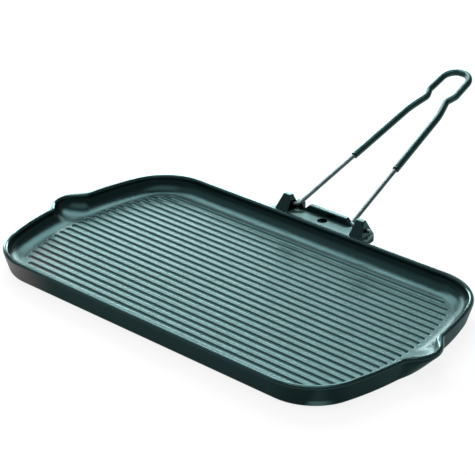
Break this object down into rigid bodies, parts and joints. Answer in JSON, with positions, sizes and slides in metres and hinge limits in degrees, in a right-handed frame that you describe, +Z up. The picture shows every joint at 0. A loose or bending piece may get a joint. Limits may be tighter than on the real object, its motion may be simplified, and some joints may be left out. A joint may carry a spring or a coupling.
{
  "type": "rectangular grill pan",
  "caption": "Rectangular ribbed cast-iron grill pan with a pouring spout at each end and a folding wire handle.",
  "frame": {"origin": "centre of the flat base, on the surface that the pan stands on", "axes": "+X along the pan's long side, +Y towards the handle, +Z up"},
  "size_m": [0.3886, 0.4073, 0.0949],
  "materials": {
    "enamelled_iron": "satin black enamel",
    "spring_wire": "bright drawn",
    "grip_sleeve": "satin"
  },
  "bodies": {
    "pan": {"pan_casting": "enamelled_iron"},
    "handle": {"handle_wire": "spring_wire", "grip_sleeve": "grip_sleeve"}
  },
  "joints": [
    {"name": "handle_fold", "type": "hinge", "parent": "pan", "child": "handle", "pos_m": [0, 0.1125, 0.0238], "axis": [1, 0, 0], "range_deg": [0, 163]}
  ]
}
